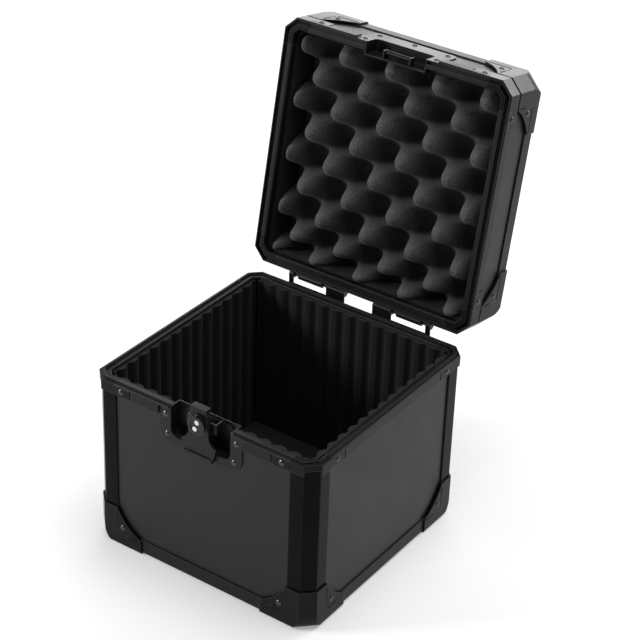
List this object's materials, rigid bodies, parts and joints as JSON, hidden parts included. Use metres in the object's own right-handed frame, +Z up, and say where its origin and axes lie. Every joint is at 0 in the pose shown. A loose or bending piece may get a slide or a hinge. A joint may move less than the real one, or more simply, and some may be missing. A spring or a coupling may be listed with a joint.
{
  "type": "record carrying case",
  "caption": "Box-shaped carrying case for seven-inch records, with a hinged foam-lined lid, corner caps, a recessed hasp latch with a lock, and a folding handle.",
  "frame": {"origin": "centre of the plane that the case stands on, under its four bottom corner caps", "axes": "+X to the right seen from the latch side, +Y from the latch side to the hinge side, +Z up"},
  "size_m": [0.2224, 0.3133, 0.3855],
  "materials": {
    "laminate": "satin black laminate",
    "extrusion": "satin black",
    "cap": "satin black",
    "rivet": "black nickel",
    "latch": "satin black",
    "lock": "satin black",
    "steel": "bright",
    "lining": "black napped",
    "foam": "charcoal open-cell foam",
    "grip": "matte"
  },
  "bodies": {
    "base": {"base_panel_bottom": "laminate", "base_panel_front": "laminate", "base_edge_front": "extrusion", "base_rail_front": "extrusion", "base_liner_front": "lining", "base_panel_right": "laminate", "base_edge_right": "extrusion", "base_rail_right": "extrusion", "base_liner_right": "lining", "base_panel_back": "laminate", "base_edge_back": "extrusion", "base_rail_back": "extrusion", "base_liner_back": "lining", "base_panel_left": "laminate", "base_edge_left": "extrusion", "base_rail_left": "extrusion", "base_liner_left": "lining", "base_uprights": "extrusion", "base_corner_caps": "cap", "base_rim_corners": "cap", "base_floor_pad": "lining", "latch_dish": "latch", "latch_catch": "latch", "hasp_pin": "steel", "hinge_pins": "steel", "base_rivets": "rivet", "hinge_base_leaves": "latch"},
    "lid": {"lid_panel_top": "laminate", "lid_panel_front": "laminate", "lid_edge_front": "extrusion", "lid_rail_front": "extrusion", "lid_panel_right": "laminate", "lid_edge_right": "extrusion", "lid_rail_right": "extrusion", "lid_panel_back": "laminate", "lid_edge_back": "extrusion", "lid_rail_back": "extrusion", "lid_panel_left": "laminate", "lid_edge_left": "extrusion", "lid_rail_left": "extrusion", "lid_uprights": "extrusion", "lid_corner_caps": "cap", "lid_rim_corners": "cap", "lid_foam": "foam", "lid_lining": "lining", "keeper_dish": "latch", "keeper_bar": "latch", "lid_rivets": "rivet", "hinge_lid_leaves": "latch", "handle_brackets": "cap", "handle_pins": "steel"},
    "hasp": {"hasp_plate": "latch", "hasp_hook": "latch", "lock_housing": "lock"},
    "lock": {"lock_plug": "lock", "lock_pins": "steel", "lock_cam": "latch"},
    "handle": {"handle_grip": "grip"}
  },
  "joints": [
    {"name": "lid_hinge", "type": "hinge", "parent": "base", "child": "lid", "pos_m": [0, 0.1125, 0.167], "axis": [1, 0, 0], "range_deg": [0, 101]},
    {"name": "hasp_hinge", "type": "hinge", "parent": "base", "child": "hasp", "pos_m": [0, -0.1096, 0.1275], "axis": [1, 0, 0], "range_deg": [-3.75, 95]},
    {"name": "lock_turn", "type": "hinge", "parent": "hasp", "child": "lock", "pos_m": [0, -0.1096, 0.1575], "axis": [0, 1, 0], "range_deg": [0, 90]},
    {"name": "handle_fold", "type": "hinge", "parent": "lid", "child": "handle", "pos_m": [0, 0.18393, 0.26772], "axis": [1, 0, 0], "range_deg": [0, 90]}
  ]
}
